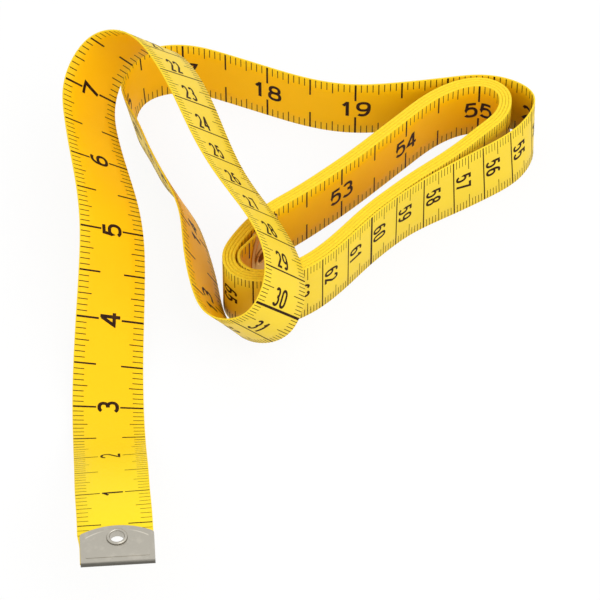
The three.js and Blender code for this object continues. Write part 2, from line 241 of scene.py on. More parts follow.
class TapeBandSizes(bpy.types.PropertyGroup):
    """Sizes of the band itself."""

    length: length_property("Length", "Length of the tape from fold to fold", 1524)
    width: length_property("Width", "Width of the tape", 18.5)
    thickness: length_property("Thickness", "Thickness of the free tape", 0.42)
    coil_thickness: length_property("Thickness in the coil", "Thickness that fills the tight coil", 0.8)
    coil_gap: length_property("Coil gap", "Air between two turns of the packed coil", 0.45)
    edge_round: length_property("Edge rounding", "Rounding of the cut edges", 0.08)


class TapePrintSizes(bpy.types.PropertyGroup):
    """Sizes of the printed scales."""

    raise_height: length_property("Ink height", "Height of the ink over the tape's face", 0.03)
    margin: length_property("Margin", "Bare tape between a mark and the edge", 0.14)
    inch_digit_height: length_property("Inch numeral height", "Height of an inch numeral", 5.6)
    inch_digit_width: length_property("Inch numeral width", "Width of one inch digit", 4.05)
    inch_digit_weight: length_property("Inch numeral weight", "Stroke of an inch numeral", 0.94)
    light_digit_height: length_property("Light numeral height", "Height of the first numerals", 5.04)
    light_digit_width: length_property("Light numeral width", "Width of one digit of these", 3.4425)
    light_digit_weight: length_property("Light numeral weight", "Stroke of the first numerals", 0.62)
    light_until: length_property("Light print", "Tape from the zero end that has the lighter print", 58)
    cm_digit_height: length_property("Centimetre numeral height", "Height of a centimetre numeral", 4.9)
    cm_digit_width: length_property("Centimetre numeral width", "Width of one centimetre digit", 2.35)
    cm_digit_weight: length_property("Centimetre numeral weight", "Stroke of a centimetre numeral", 0.72)


class TapeColours(bpy.types.PropertyGroup):
    """Colours of the tape, its print and its metal ends."""

    # Painted light: a lighter colour for the inch face near the zero end, where more light falls.
    painted_lit_end: colour_property("Painted lit end", "Inch face near the zero end, painted lighter for the light that falls there", 243, 216, 38)
    inch_face: colour_property("Inch face", "Vinyl on the inch face", 252, 194, 7)
    cm_face: colour_property("Centimetre face", "Vinyl on the centimetre face", 236, 203, 42)
    cut_edge: colour_property("Cut edge", "Edge where the coated cloth is cut", 248, 213, 42)
    ink: colour_property("Ink", "Printed marks and numerals", 44, 22, 6)
    thin_ink: colour_property("Thin ink", "Ink where it is worn thin", 112, 74, 18)
    metal: colour_property("Metal", "Plated sheet of clips and eyelets", 188, 183, 171)
    # Painted reflection and shade: the far clip and eyelet, deep in the coil, get an orange-brown colour
    # for the orange tape they reflect and the shade they lie in.
    painted_reflection_metal: colour_property("Metal with painted reflection", "Far end's metal, painted with the coil's reflection and shade", 214, 168, 94)


class TapeStage(bpy.types.PropertyGroup):
    """Floor and light."""

    floor: colour_property("Floor", "Plain pale floor", 240, 240, 240)
    sky: FloatProperty(name="Sky", description="Even light from all round", default=1.05, min=0.0)
    key: power_property("Key lamp", "Power of the large lamp overhead", 3.8)
    fill: power_property("Fill lamp", "Power of the lamp at the right", 0.8)


class TapeSettings(bpy.types.PropertyGroup):
    """All that a user would change."""

    band: PointerProperty(type=TapeBandSizes)
    prints: PointerProperty(type=TapePrintSizes)
    colours: PointerProperty(type=TapeColours)
    stage: PointerProperty(type=TapeStage)


class Spline:
    """Natural cubic spline through rows of numbers that belong to rising knots."""

    def __init__(self, knots, rows):
        self.knots = np.array(knots, float)
        self.rows = np.array(rows, float)
        gap = np.diff(self.knots)
        slope = np.diff(self.rows, axis=0) / gap[:, None]
        count = len(self.knots)
        system = np.eye(count)
        inner = np.arange(1, count - 1)
        system[inner, inner - 1] = gap[:-1]
        system[inner, inner] = 2 * (gap[:-1] + gap[1:])
        system[inner, inner + 1] = gap[1:]
        change = np.zeros_like(self.rows)
        change[1:-1] = 6 * np.diff(slope, axis=0)
        self.bend = np.linalg.solve(system, change)

    def at(self, where):
        """Values and slopes at each place of an array."""
        low = np.clip(np.searchsorted(self.knots, where, "right") - 1, 0, len(self.knots) - 2)
        gap = (self.knots[low + 1] - self.knots[low])[:, None]
        f = (where - self.knots[low])[:, None] / gap
        g = 1 - f
        start, end = self.rows[low], self.rows[low + 1]
        bend0, bend1 = self.bend[low], self.bend[low + 1]
        value = g * start + f * end + ((g**3 - g) * bend0 + (f**3 - f) * bend1) * gap**2 / 6
        slope = (end - start) / gap + ((1 - 3 * g**2) * bend0 + (3 * f**2 - 1) * bend1) * gap / 6
        return value, slope


def chord_knots(points, start):
    steps = np.linalg.norm(np.diff(np.array(points, float), axis=0), axis=1)
    return start + np.concatenate([[0.0], np.cumsum(steps)])


def unit(rows):
    return rows / np.linalg.norm(rows, axis=-1, keepdims=True)


class TapeLine:
    """Middle, direction and left-to-right direction of the tape at any length from its zero, in mm."""

    def __init__(self, sizes):
        self.length = sizes.length / MM
        self.width = sizes.width / MM
        self.thickness = sizes.thickness / MM
        self.coil_thickness = sizes.coil_thickness / MM
        rows = [self.row(*mark) for mark in ROUTE]
        rows += [self.standing(*mark) for mark in STANDING_ROUTE]
        knots = [i * MARK_STEP for i in range(len(rows))]
        coil_start = len(rows) * MARK_STEP
        coil_points, coil_knots = self.wind(coil_start, self.thickness + sizes.coil_gap / MM)
        rows += [self.standing(*point) for point in coil_points]
        knots += list(coil_knots)
        self.spline = Spline(knots, rows)
        self.last_straight = knots[-1]
        self.zero = self.last_straight + CLIP_LENGTH - self.length
        self.first_straight = max(knots[0], self.zero + CLIP_LENGTH)
        self.coil_start = coil_start - self.zero

    def row(self, x, y, z, lean, bearing):
        """Place of a mark, and the left-to-right direction there from its lean and bearing in degrees."""
        down, turn = math.radians(lean), math.radians(bearing)
        level = math.cos(down)
        return [x, y, z, level * math.cos(turn), level * math.sin(turn), -math.sin(down)]

    def standing(self, x, y, lean=90, bearing=0):
        return self.row(x, y, self.width / 2, lean, bearing)

    def wind(self, start, pitch):
        """Plan points and knots of the coil: its outline repeated and drawn in, then the last bend."""
        closed = COIL_OUTLINE[-OUTLINE_OVERLAP:] + COIL_OUTLINE + COIL_OUTLINE[:OUTLINE_OVERLAP]
        knots = chord_knots(closed, 0.0)
        begin = knots[OUTLINE_OVERLAP]
        around = knots[OUTLINE_OVERLAP + len(COIL_OUTLINE)] - begin
        steps = round(COIL_STEPS * COIL_TURNS)
        turns = COIL_TURNS * np.arange(steps + 1) / steps
        points, slopes = Spline(knots, closed).at(begin + (turns % 1) * around)
        ahead = unit(slopes)
        inward = np.stack([ahead[:, 1], -ahead[:, 0]], axis=1)
        points = points + (pitch * turns)[:, None] * inward
        lengths = chord_knots(points, start)
        kept = np.arange(0, steps + 1 - COIL_ROW_EVERY, COIL_ROW_EVERY)
        way = unit(points[-1] - points[-2])
        side = np.array([way[1], -way[0]])
        bend = [points[-1] + far * way + deep * side for far, deep in INNER_TURN]
        angle = math.radians(-FAR_CLIP_TURN)
        clip_way = np.array([way[0] * math.cos(angle) - way[1] * math.sin(angle),
                             way[0] * math.sin(angle) + way[1] * math.cos(angle)])
        lead = [bend[-1] + share * FAR_CLIP_LEAD * clip_way for share in (0.5, 1.0)]
        last = [points[-1], *bend, *lead]
        all_points = np.concatenate([points[kept], last])
        return all_points, np.concatenate([lengths[kept], chord_knots(last, lengths[-1])])

    def at(self, lengths):
        where = np.asarray(lengths, float) + self.zero
        held = np.clip(where, self.first_straight, self.last_straight)
        rows, slopes = self.spline.at(held)
        along = unit(slopes[:, :3])
        across = rows[:, 3:]
        across = unit(across - (across * along).sum(axis=1, keepdims=True) * along)
        middle = rows[:, :3].copy()
        depth = self.width * np.abs(across[:, 2]) + self.thickness * np.hypot(across[:, 0], across[:, 1])
        middle[:, 2] = np.maximum(middle[:, 2], depth / 2)
        middle += along * (where - held)[:, None]
        return middle, along, across

    def half_thickness(self, lengths):
        """Half the thickness, which grows over the first part of the coil."""
        grown = np.clip((np.asarray(lengths, float) - self.coil_start) / COIL_SWELL, 0, 1)
        grown = grown * grown * (3 - 2 * grown)
        return (self.thickness + (self.coil_thickness - self.thickness) * grown) / 2

    def print_places(self, lengths):
        """Where on the tape the print for these lengths lies."""
        return lengths - PRINT_LAG * np.interp(lengths, PRINT_LAG_PLACES, (0, 1, 1, 0))

    def sections(self):
        """Lengths at which the band has a cross-section, closer together where it bends or twists."""
        start = CLIP_FOLD
        end = self.length - CLIP_FOLD
        probe = np.linspace(start, end, round((end - start) / BAND_PROBE) + 1)
        _, along, across = self.at(probe)

        def turned(way):
            return 2 * np.arcsin(np.clip(np.linalg.norm(np.diff(way, axis=0), axis=1) / 2, 0, 1))

        turn = np.maximum(turned(along), turned(across))
        need = np.maximum(np.diff(probe) / BAND_STEP, turn / math.radians(BAND_TURN))
        total = np.concatenate([[0.0], np.cumsum(need)])
        count = math.ceil(total[-1])
        return np.interp(np.linspace(0, total[-1], count + 1), total, probe)

    def end_matrix(self, far):
        """Frame of a clip in metres: x across the tape, y from its end into it, z out of the face."""
        middle, along, across = self.at([self.length - CLIP_FOLD if far else CLIP_FOLD])
        sign = -1 if far else 1
        x, y = sign * across[0], sign * along[0]
        matrix = Matrix(np.stack([x, y, np.cross(x, y)], axis=1).tolist()).to_4x4()
        matrix.translation = Vector(middle[0] * MM)
        return matrix


def sum_of(operation, swapped=False):
    """A method for a wire that adds the node of one sum."""
    def method(self, other=0.0):
        pair = (other, self) if swapped else (self, other)
        return self.board.math(operation, *pair)
    return method


class Wire:
    """An output socket that takes part in Python arithmetic, which adds Math or Vector Math nodes."""

    def __init__(self, board, socket):
        self.board = board
        self.socket = socket

    __add__ = sum_of("ADD")
    __radd__ = sum_of("ADD", swapped=True)
    __sub__ = sum_of("SUBTRACT")
    __rsub__ = sum_of("SUBTRACT", swapped=True)
    __mul__ = sum_of("MULTIPLY")
    __rmul__ = sum_of("MULTIPLY", swapped=True)
    __truediv__ = sum_of("DIVIDE")
    __mod__ = sum_of("MODULO")
    __lt__ = sum_of("LESS_THAN")
    __gt__ = sum_of("GREATER_THAN")
    __abs__ = sum_of("ABSOLUTE")
    floor = sum_of("FLOOR")
    sine = sum_of("SINE")
    root = sum_of("SQRT")

    def is_vector(self):
        return self.socket.type == "VECTOR"


class Board:
    """A node tree under construction."""

    def __init__(self, tree):
        self.tree = tree
        self.given = {}

    def socket(self, sockets, key):
        if isinstance(key, int):
            return sockets[key]
        found = [s for s in sockets if key in (s.identifier, s.name)]
        live = [s for s in found if s.enabled]
        if not found:
            raise ValueError(f"{self.tree.name} has no socket {key}")
        return (live or found)[0]

    def node(self, kind, settings=None, sockets=None):
        """A node of any type: its settings first, then the values or links of its sockets."""
        made = self.tree.nodes.new(kind)
        for name, value in (settings or {}).items():
            setattr(made, name, value)
        for key, value in (sockets or {}).items():
            for one in value if isinstance(value, list) else [value]:
                target = self.socket(made.inputs, key)
                if isinstance(one, Wire):
                    self.tree.links.new(one.socket, target)
                else:
                    target.default_value = one
        return made

    def wire(self, kind, settings=None, sockets=None, out=0):
        made = self.node(kind, settings, sockets)
        return Wire(self, self.socket(made.outputs, out))

    def math(self, operation, first, second):
        vectors = [isinstance(x, Wire) and x.is_vector() for x in (first, second)]
        if operation == "MULTIPLY" and vectors == [True, False]:
            return self.wire("ShaderNodeVectorMath", {"operation": "SCALE"}, {0: first, "Scale": second})
        if operation == "MULTIPLY" and vectors == [False, True]:
            return self.wire("ShaderNodeVectorMath", {"operation": "SCALE"}, {0: second, "Scale": first})
        kind = "ShaderNodeVectorMath" if any(vectors) else "ShaderNodeMath"
        return self.wire(kind, {"operation": operation}, {0: first, 1: second})

    def mix(self, share, first, second):
        sockets = {"Factor_Float": share, "A_Color": first, "B_Color": second}
        return self.wire("ShaderNodeMix", {"data_type": "RGBA"}, sockets, "Result_Color")

    def combine(self, x, y, z=0.0):
        return self.wire("ShaderNodeCombineXYZ", None, {0: x, 1: y, 2: z})

    def parts(self, vector):
        made = self.node("ShaderNodeSeparateXYZ", None, {0: vector})
        return [Wire(self, socket) for socket in made.outputs]

    def smooth(self, value, low, high):
        """0 below low, 1 above high, and a smooth change between them."""
        sockets = {"Value": value, "From Min": low, "From Max": high}
        return self.wire("ShaderNodeMapRange", {"interpolation_type": "SMOOTHSTEP"}, sockets)

    def whole(self, value):
        return self.wire("FunctionNodeFloatToInt", {"rounding_mode": "ROUND"}, {0: value})


def geometry_board(name, inputs):
    """A Geometry Nodes tree with named inputs, each (name, socket type)."""
    tree = bpy.data.node_groups.new(name, "GeometryNodeTree")
    tree.is_modifier = True
    tree.interface.new_socket("Geometry", in_out="INPUT", socket_type="NodeSocketGeometry")
    tree.interface.new_socket("Geometry", in_out="OUTPUT", socket_type="NodeSocketGeometry")
    for label, kind in inputs:
        tree.interface.new_socket(label, in_out="INPUT", socket_type=f"NodeSocket{kind}")
    board = Board(tree)
    entry = board.node("NodeGroupInput")
    board.given = {s.name: Wire(board, s) for s in entry.outputs if s.name}
    return board


def close_geometry(board, parts):
    """Ends a tree: the parts joined, realized and inked."""
    joined = board.wire("GeometryNodeJoinGeometry", None, {"Geometry": parts})
    real = board.wire("GeometryNodeRealizeInstances", None, {"Geometry": joined})
    sockets = {"Geometry": real, "Material": board.given["Ink"]}
    inked = board.wire("GeometryNodeSetMaterial", None, sockets)
    board.node("NodeGroupOutput", None, {"Geometry": inked})
    return board.tree


def add_tree(piece, tree, values):
    """Adds a tree to a piece as a modifier, with its inputs set by their identifiers."""
    modifier = piece.modifiers.new(tree.name, "NODES")
    modifier.node_group = tree
    for item in tree.interface.items_tree:
        if item.in_out == "INPUT" and item.name in values:
            modifier[item.identifier] = values[item.name]


def numbered_board(name, inputs):
    """A tree for a row of numbered places along the flat tape, with its points, numbers and places."""
    shared = [("Count", "Int"), ("First", "Int"), ("Spacing", "Float"), ("Start", "Float"),
              ("Turn", "Vector"), ("Ink", "Material")]
    board = geometry_board(name, shared + inputs)
    given = board.given
    points = board.wire("GeometryNodeMeshLine", None, {"Count": given["Count"]})
    number = board.wire("GeometryNodeInputIndex") + given["First"]
    return board, points, number, number * given["Spacing"] + given["Start"]


def stamped(board, points, spot, sockets):
    """Instances on a row's points, moved to their spots."""
    moved = board.wire("GeometryNodeSetPosition", None, {"Geometry": points, "Position": spot})
    sockets = {"Points": moved, "Rotation": board.given["Turn"], **sockets}
    return board.wire("GeometryNodeInstanceOnPoints", None, sockets)


def marks_tree():
    """Marks along both edges, in the flat: x is the length along the tape, y the way across it."""
    inputs = [("Edge", "Float"), ("Length", "Float"), ("Thickness", "Float"), ("Light Until", "Float")]
    levels = ("Low", "Middle", "High")
    for level in levels:
        inputs.append((f"{level} Every", "Int"))
        inputs += [(f"{level} Length", "Float"), (f"{level} Thickness", "Float")]
    board, points, number, place = numbered_board("printed_marks", inputs)
    given = board.given
    length, thickness = given["Length"], given["Thickness"]
    for level in levels:
        on = ((number + WHOLE_MARGIN) % given[f"{level} Every"]) < 2 * WHOLE_MARGIN
        length = length + on * (given[f"{level} Length"] - length)
        thickness = thickness + on * (given[f"{level} Thickness"] - thickness)
    thickness = thickness * (1 - LIGHT_THINNING * (place < given["Light Until"]))
    square = {"Size X": 1.0, "Size Y": 1.0, "Vertices X": 2, "Vertices Y": 2}
    bar = board.wire("GeometryNodeMeshGrid", None, square)
    size = board.combine(thickness, length, 1.0)
    parts = [given["Geometry"]]
    for side in (-1, 1):
        spot = board.combine(place, side * (given["Edge"] - length * 0.5))
        parts.append(stamped(board, points, spot, {"Instance": bar, "Scale": size}))
    return close_geometry(board, parts)


def numerals_tree():
    """Numerals of up to three digits in the flat, each digit picked from a collection of ten."""
    inputs = [("Across", "Float"), ("Advance", "Float"), ("Direction", "Vector"),
              ("Digits", "Collection")]
    board, points, number, place = numbered_board("printed_numerals", inputs)
    given = board.given
    sockets = {"Collection": given["Digits"], "Separate Children": True, "Reset Children": True}
    digits = board.wire("GeometryNodeCollectionInfo", None, sockets)
    last_place = (number > 9.5) + (number > 99.5)
    parts = [given["Geometry"]]
    for power in range(3):
        base = 10**power
        digit = ((number + WHOLE_MARGIN) / base).floor() % 10
        shift = (last_place * 0.5 - power) * given["Advance"]
        spot = board.combine(place, given["Across"]) + given["Direction"] * shift
        sockets = {"Instance": digits, "Pick Instance": True, "Instance Index": board.whole(digit),
                   "Selection": number > (base - 0.5 if power else -0.5)}
        parts.append(stamped(board, points, spot, sockets))
    return close_geometry(board, parts)


def wrap_tree():
    """Lays flat print on the tape: the guide holds the face's middle, its way across and its outside."""
    inputs = [("Guide", "Object"), ("Step", "Float"), ("Height", "Float"), ("Ink", "Material")]
    board = geometry_board("print_on_tape", inputs)
    given = board.given
    settings = {"transform_space": "ORIGINAL"}
    info = board.wire("GeometryNodeObjectInfo", settings, {"Object": given["Guide"]}, "Geometry")
    position = board.wire("GeometryNodeInputPosition")
    along, across, _ = board.parts(position)
    count = along / given["Step"]
    low = count.floor()
    share = count - low
    first, second = board.whole(low), board.whole(low + 1.0)

    def on_guide(value):
        settings = {"data_type": "FLOAT_VECTOR", "domain": "POINT", "clamp": True}
        ends = []
        for index in (first, second):
            sockets = {"Geometry": info, "Value": value, "Index": index}
            ends.append(board.wire("GeometryNodeSampleIndex", settings, sockets))
        return ends[0] + (ends[1] - ends[0]) * share

    def named(name):
        settings = {"data_type": "FLOAT_VECTOR"}
        return board.wire("GeometryNodeInputNamedAttribute", settings, {"Name": name})

    spot = on_guide(position) + on_guide(named("across")) * across
    spot = spot + on_guide(named("outside")) * given["Height"]
    laid = board.wire("GeometryNodeSetPosition", None, {"Geometry": given["Geometry"], "Position": spot})
    return close_geometry(board, [laid])


def arc(centre_x, centre_y, radius_x, radius_y, start, end):
    """Points of an arc that is a little squarer than an ellipse."""
    steps = round(abs(end - start) / DIGIT_ARC_STEP)
    angles = np.radians(np.linspace(start, end, steps + 1))
    turns = np.stack([np.cos(angles), np.sin(angles)], axis=1)
    turns = np.sign(turns) * np.abs(turns) ** DIGIT_SQUARENESS
    return [(centre_x + radius_x * x, centre_y + radius_y * y) for x, y in turns]


def half_turned(strokes):
    return [[(1 - x, 1 - y) for x, y in stroke] for stroke in strokes]


def digit_strokes():
    """Strokes of the ten digits in a unit square."""
    six = [arc(0.5, 0.3, 0.5, 0.3, 180, 540), arc(0.62, 0.32, 0.62, 0.68, 184, 62)]
    return [
        [arc(0.5, 0.68, 0.5, 0.32, 0, 180) + arc(0.5, 0.32, 0.5, 0.32, 180, 360) + [(1.0, 0.68)]],
        [[(0.12, 0.74), (0.5, 1.0)], [(0.5, 1.08), (0.5, -0.08)]],
        [arc(0.5, 0.71, 0.48, 0.29, 168, -30) + [(0.02, 0.0), (1.0, 0.0)]],
        [arc(0.47, 0.755, 0.44, 0.245, 152, -90), arc(0.48, 0.265, 0.5, 0.265, 90, -152)],
        [[(0.74, -0.08), (0.74, 1.08)], [(0.66, 1.0), (0.02, 0.27), (1.1, 0.27)]],
        [[(0.95, 1.0), (0.17, 1.0), (0.06, 0.46)] + arc(0.48, 0.33, 0.51, 0.33, 146, -150)],
        six,
        [[(-0.04, 1.0), (0.98, 1.0), (0.34, -0.06)]],
        [arc(0.5, 0.76, 0.43, 0.24, 0, 360), arc(0.5, 0.265, 0.5, 0.265, 0, 360)],
        half_turned(six),
    ]


def stroke_faces(points, weight, verts, faces):
    """A flat band of the given weight along a line of points, mitred at its corners."""
    closed = np.linalg.norm(points[0] - points[-1]) < 1e-9
    ways = unit(np.diff(points, axis=0))
    before = np.concatenate([ways[-1:] if closed else ways[:1], ways])
    after = np.concatenate([ways, ways[:1] if closed else ways[-1:]])
    mid = unit(before + after)
    stretch = 1 / np.maximum((mid * before).sum(axis=1), 1 / MITRE_LIMIT)
    normal = np.stack([-mid[:, 1], mid[:, 0]], axis=1) * (stretch * weight / 2)[:, None]
    first = len(verts)
    for left, right in zip(points + normal, points - normal):
        verts += [(*left, 0.0), (*right, 0.0)]
    for i in range(len(points) - 1):
        here = first + 2 * i
        faces.append((here, here + 1, here + 3, here + 2))


def refined(points, longest):
    """The same line with no step longer than the given one."""
    out = [points[0]]
    for a, b in zip(points[:-1], points[1:]):
        count = max(1, math.ceil(np.linalg.norm(b - a) / longest))
        out += [a + (b - a) * i / count for i in range(1, count + 1)]
    return np.array(out)


def digit_collection(sizes, name):
    """Ten flat digits in a collection, of the sizes whose names start with its own, each centred."""
    collection = bpy.data.collections.new(name)
    bpy.context.scene.collection.children.link(collection)
    width, height, weight = [getattr(sizes, f"{name}_{size}") for size in ("width", "height", "weight")]
    inner = np.array([width - weight, height - weight])
    for digit, strokes in enumerate(digit_strokes()):
        verts, faces = [], []
        for stroke in strokes:
            points = (np.array(stroke) - 0.5) * inner
            stroke_faces(refined(points, DIGIT_STEP * MM), weight, verts, faces)
        mesh = bpy.data.meshes.new(f"{name}_{digit}")
        mesh.from_pydata(verts, [], faces)
        collection.objects.link(bpy.data.objects.new(f"{name}_{digit}", mesh))
    return collection


def remove_collection(collection):
    for piece in list(collection.objects):
        bpy.data.objects.remove(piece)
    bpy.data.collections.remove(collection)


def guide_object(line, side):
    """Points along one face of the tape, with the way across and the way out of the face."""
    lengths = np.arange(0, line.length + GUIDE_STEP, GUIDE_STEP)
    places = line.print_places(lengths)
    middle, along, across = line.at(places)
    outside = np.cross(across, along) * side
    points = (middle + outside * line.half_thickness(places)[:, None]) * MM
    mesh = bpy.data.meshes.new("print_guide")
    mesh.from_pydata(points.tolist(), [], [])
    for name, rows in (("across", across), ("outside", outside)):
        attribute = mesh.attributes.new(name, "FLOAT_VECTOR", "POINT")
        attribute.data.foreach_set("vector", rows.astype(np.float32).ravel())
    return new_object("print_guide", mesh)


def new_object(name, data):
    made = bpy.data.objects.new(name, data)
    bpy.context.scene.collection.objects.link(made)
    return made


def make_plain(piece):
    """Turns what the modifiers make into the piece's own mesh."""
    bpy.context.view_layer.update()
    evaluated = piece.evaluated_get(bpy.context.evaluated_depsgraph_get())
    mesh = bpy.data.meshes.new_from_object(evaluated)
    piece.modifiers.clear()
    piece.data = mesh
    mesh.name = piece.name


def print_piece(name, line, side, layers, ink, height):
    """A printed scale: layers of flat marks and numerals, wrapped round the tape."""
    piece = new_object(name, bpy.data.meshes.new(name))
    for tree, values in layers:
        add_tree(piece, tree, {**values, "Ink": ink})
    guide = guide_object(line, side)
    values = {"Guide": guide, "Step": GUIDE_STEP * MM, "Height": height, "Ink": ink}
    add_tree(piece, wrap_tree(), values)
    make_plain(piece)
    bpy.data.objects.remove(guide)
    bend_with_free_end(piece)


def bend_with_free_end(piece):
    """Bakes the piece's transform into its mesh."""
    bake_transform(piece)


def material_board(name):
    material = bpy.data.materials.new(name)
    material.use_nodes = True
    material.node_tree.nodes.clear()
    return material, Board(material.node_tree)


def finish_material(board, colour, roughness, others):
    sockets = {"Base Color": colour, "Roughness": roughness, **others}
    shader = board.wire("ShaderNodeBsdfPrincipled", None, sockets)
    board.node("ShaderNodeOutputMaterial", None, {"Surface": shader})


def noise(board, scale, detail, vector=None):
    """Noise in the piece's own space, or at places of its map."""
    where = vector or board.wire("ShaderNodeTexCoord", None, None, "Object")
    sockets = {"Vector": where, "Scale": scale, "Detail": detail}
    return board.wire("ShaderNodeTexNoise", None, sockets, "Fac")


def relief(board, strength, depth, height):
    sockets = {"Strength": strength, "Distance": depth * MM, "Height": height}
    return board.wire("ShaderNodeBump", None, sockets)


def opaque(colour):
    return (*colour, 1.0)


def shade(colour, share):
    return opaque([channel * share for channel in colour])


def face_material(name, colour, lit_end_colour, edge_colour, gloss, band):
    """Vinyl-coated cloth: faint weave, uneven coat, painted lighter near its zero end where more light
    falls, and paler along both edges, partly rubbed and partly a painted edge highlight.
    """
    material, board = material_board(name)
    u, v, _ = board.parts(board.wire("ShaderNodeUVMap", {"uv_map": UV_NAME}))
    along = u * (band.length / MM)
    across = v * (band.width / MM)
    half = band.width / MM / 2
    from_middle = abs(across - half)
    thread = 2 * math.pi / THREAD_PITCH
    weave = (along * thread).sine() * (across * thread).sine()
    cloud = noise(board, scale=55.0, detail=3.0)
    grain = noise(board, scale=900.0, detail=2.0)
    body = board.mix(board.smooth(cloud, 0.3, 0.75), shade(colour, 0.95), opaque(colour))
    # Painted light: over the first 20 to 120 mm the face turns to the lighter end colour, for the light
    # that falls on the free end.
    body = board.mix(board.smooth(along, 20.0, 120.0), opaque(lit_end_colour), body)
    body = board.mix(grain * 0.1, body, shade(colour, 0.8))
    body = board.mix(weave * 0.03 + 0.03, body, shade(colour, 0.86))
    margin = board.smooth(from_middle, half - 3.4, half - 1.2)
    body = board.mix(margin * 0.4, body, opaque(edge_colour))
    # Paler within half a millimetre of each edge: partly the coat rubbed thin, partly a painted highlight
    # along the edge.
    rub_and_highlight = board.smooth(from_middle + (grain - 0.5) * 0.35, half - 0.42, half - 0.05)
    body = board.mix(rub_and_highlight * 0.75, body, opaque(edge_colour))
    normal = relief(board, strength=0.22, depth=0.04, height=weave * 0.5 + grain * 0.7)
    finish_material(board, body, 0.42 + grain * 0.14, {"Specular IOR Level": gloss, "Normal": normal})
    return material


def edge_material(name, colour):
    """The cut through the coated cloth: pale, with the ends of the threads."""
    material, board = material_board(name)
    fibre = noise(board, scale=1400.0, detail=2.0)
    body = board.mix(board.smooth(fibre, 0.35, 0.75), shade(colour, 0.88), opaque(colour))
    normal = relief(board, strength=0.3, depth=0.05, height=fibre)
    finish_material(board, body, 0.6 + fibre * 0.1, {"Specular IOR Level": 0.2, "Normal": normal})
    return material


def ink_material(colours):
    """Printing ink, a little thin in places."""
    material, board = material_board("ink")
    thin = noise(board, scale=700.0, detail=3.0)
    share = board.smooth(thin, 0.45, 0.9) * 0.5
    body = board.mix(share, opaque(colours.ink), opaque(colours.thin_ink))
    finish_material(board, body, 0.5 + thin * 0.12, {"Specular IOR Level": 0.12})
    return material


def metal_material(name, colour, roughness, folded):
    """Plated sheet with fine brushing and small scuffs, and on a clip painted shade along the fold and a
    painted highlight along the raised panel's arched edge.
    """
    material, board = material_board(name)
    x, y, _ = board.parts(board.wire("ShaderNodeUVMap", {"uv_map": CLIP_UV_NAME}))
    brushed = noise(board, scale=1.0, detail=4.0, vector=board.combine(x * 0.9, y * 16.0))
    scuff = noise(board, scale=420.0, detail=4.0)
    body = board.mix(brushed * 0.4, opaque(colour), shade(colour, 0.76))
    body = board.mix(board.smooth(scuff, 0.5, 0.72) * 0.5, body, shade(colour, 1.18))
    if folded:
        # Painted highlight: lighter colour along the raised panel's arched edge near its corners, where
        # that edge catches the light.
        aside = abs(x - CLIP_SHIFT)
        up = y - PANEL_ARCH_CENTRE
        from_arch = abs((aside * aside + up * up).root() - PANEL_ARCH)
        on_arch = board.smooth(aside, 2.0, 6.0) * (1 - board.smooth(aside, 7.4, 7.8))
        # Share of the painted highlight across the edge.
        worn = on_arch * (1 - board.smooth(from_arch, 0.06, 0.3))
        body = board.mix(worn * 0.85, body, shade(colour, 1.5))
        # Painted shade: the sheet is darkened along the fold, where its rounded underside turns away from
        # the light.
        fold = 1 - board.smooth(y, -0.42, 0.12)
        body = board.mix(fold * 0.82, body, shade(colour, 0.1))
    rough = roughness + brushed * 0.16 + board.smooth(scuff, 0.55, 0.8) * 0.1
    normal = relief(board, strength=0.2, depth=0.03, height=brushed * 0.8 + scuff * 0.4)
    finish_material(board, body, rough, {"Metallic": 1.0, "Normal": normal})
    return material


def section_profile(width, edge_round):
    """The band's cross-section round its rim: places across, heights from 1 to -1, and kinds of face."""
    half = width / 2
    face = [-half + edge_round, -half / 2, 0.0, half / 2, half - edge_round]
    flat = 0.55
    across = face + [half, half] + face[::-1] + [-half, -half]
    height = [1.0] * len(face) + [flat, -flat] + [-1.0] * len(face) + [-flat, flat]
    steps = len(face) - 1
    kinds = [INCH_SIDE] * steps + [CUT_EDGE] * 3 + [CENTIMETRE_SIDE] * steps + [CUT_EDGE] * 3
    return np.array(across), np.array(height), kinds


def band_mesh(line, band):
    """One closed band with its own map of length and width, and a kind of face for each material."""
    across_at, height_at, kinds_at = section_profile(line.width, band.edge_round / MM)
    lengths = line.sections()
    middle, along, across = line.at(lengths)
    outside = np.cross(across, along) * line.half_thickness(lengths)[:, None]
    tucked = BAND_TUCK * np.clip((CLIP_LENGTH - CLIP_RISE - lengths) / TUCK_RAMP, 0.0, 1.0)
    places = across_at[None, :] + tucked[:, None] * (across_at < 0)
    points = middle[:, None] + places[:, :, None] * across[:, None]
    points = points + height_at[None, :, None] * outside[:, None]
    rings, around = points.shape[:2]
    last = (rings - 1) * around
    faces = []
    for here in range(0, last, around):
        there = here + around
        for j in range(around):
            k = (j + 1) % around
            faces.append((here + j, here + k, there + k, there + j))
    faces.append(tuple(range(around - 1, -1, -1)))
    faces.append(tuple(range(last, last + around)))
    kinds = kinds_at * (rings - 1) + [CUT_EDGE, CUT_EDGE]
    mesh = bpy.data.meshes.new("tape_band")
    mesh.from_pydata((points.reshape(-1, 3) * MM).tolist(), [], faces)
    mesh.polygons.foreach_set("material_index", kinds)
    smooth = np.ones(len(faces), bool)
    smooth[-2:] = False
    mesh.polygons.foreach_set("use_smooth", smooth)
    u = np.repeat(lengths / line.length, around)
    v = np.tile(across_at / line.width + 0.5, rings)
    corner = np.zeros(len(mesh.loops), np.int32)
    mesh.loops.foreach_get("vertex_index", corner)
    places = np.stack([u[corner], v[corner]], axis=1)
    layer = mesh.uv_layers.new(name=UV_NAME)
    layer.data.foreach_set("uv", places.astype(np.float32).ravel())
    mesh.update()
    return mesh


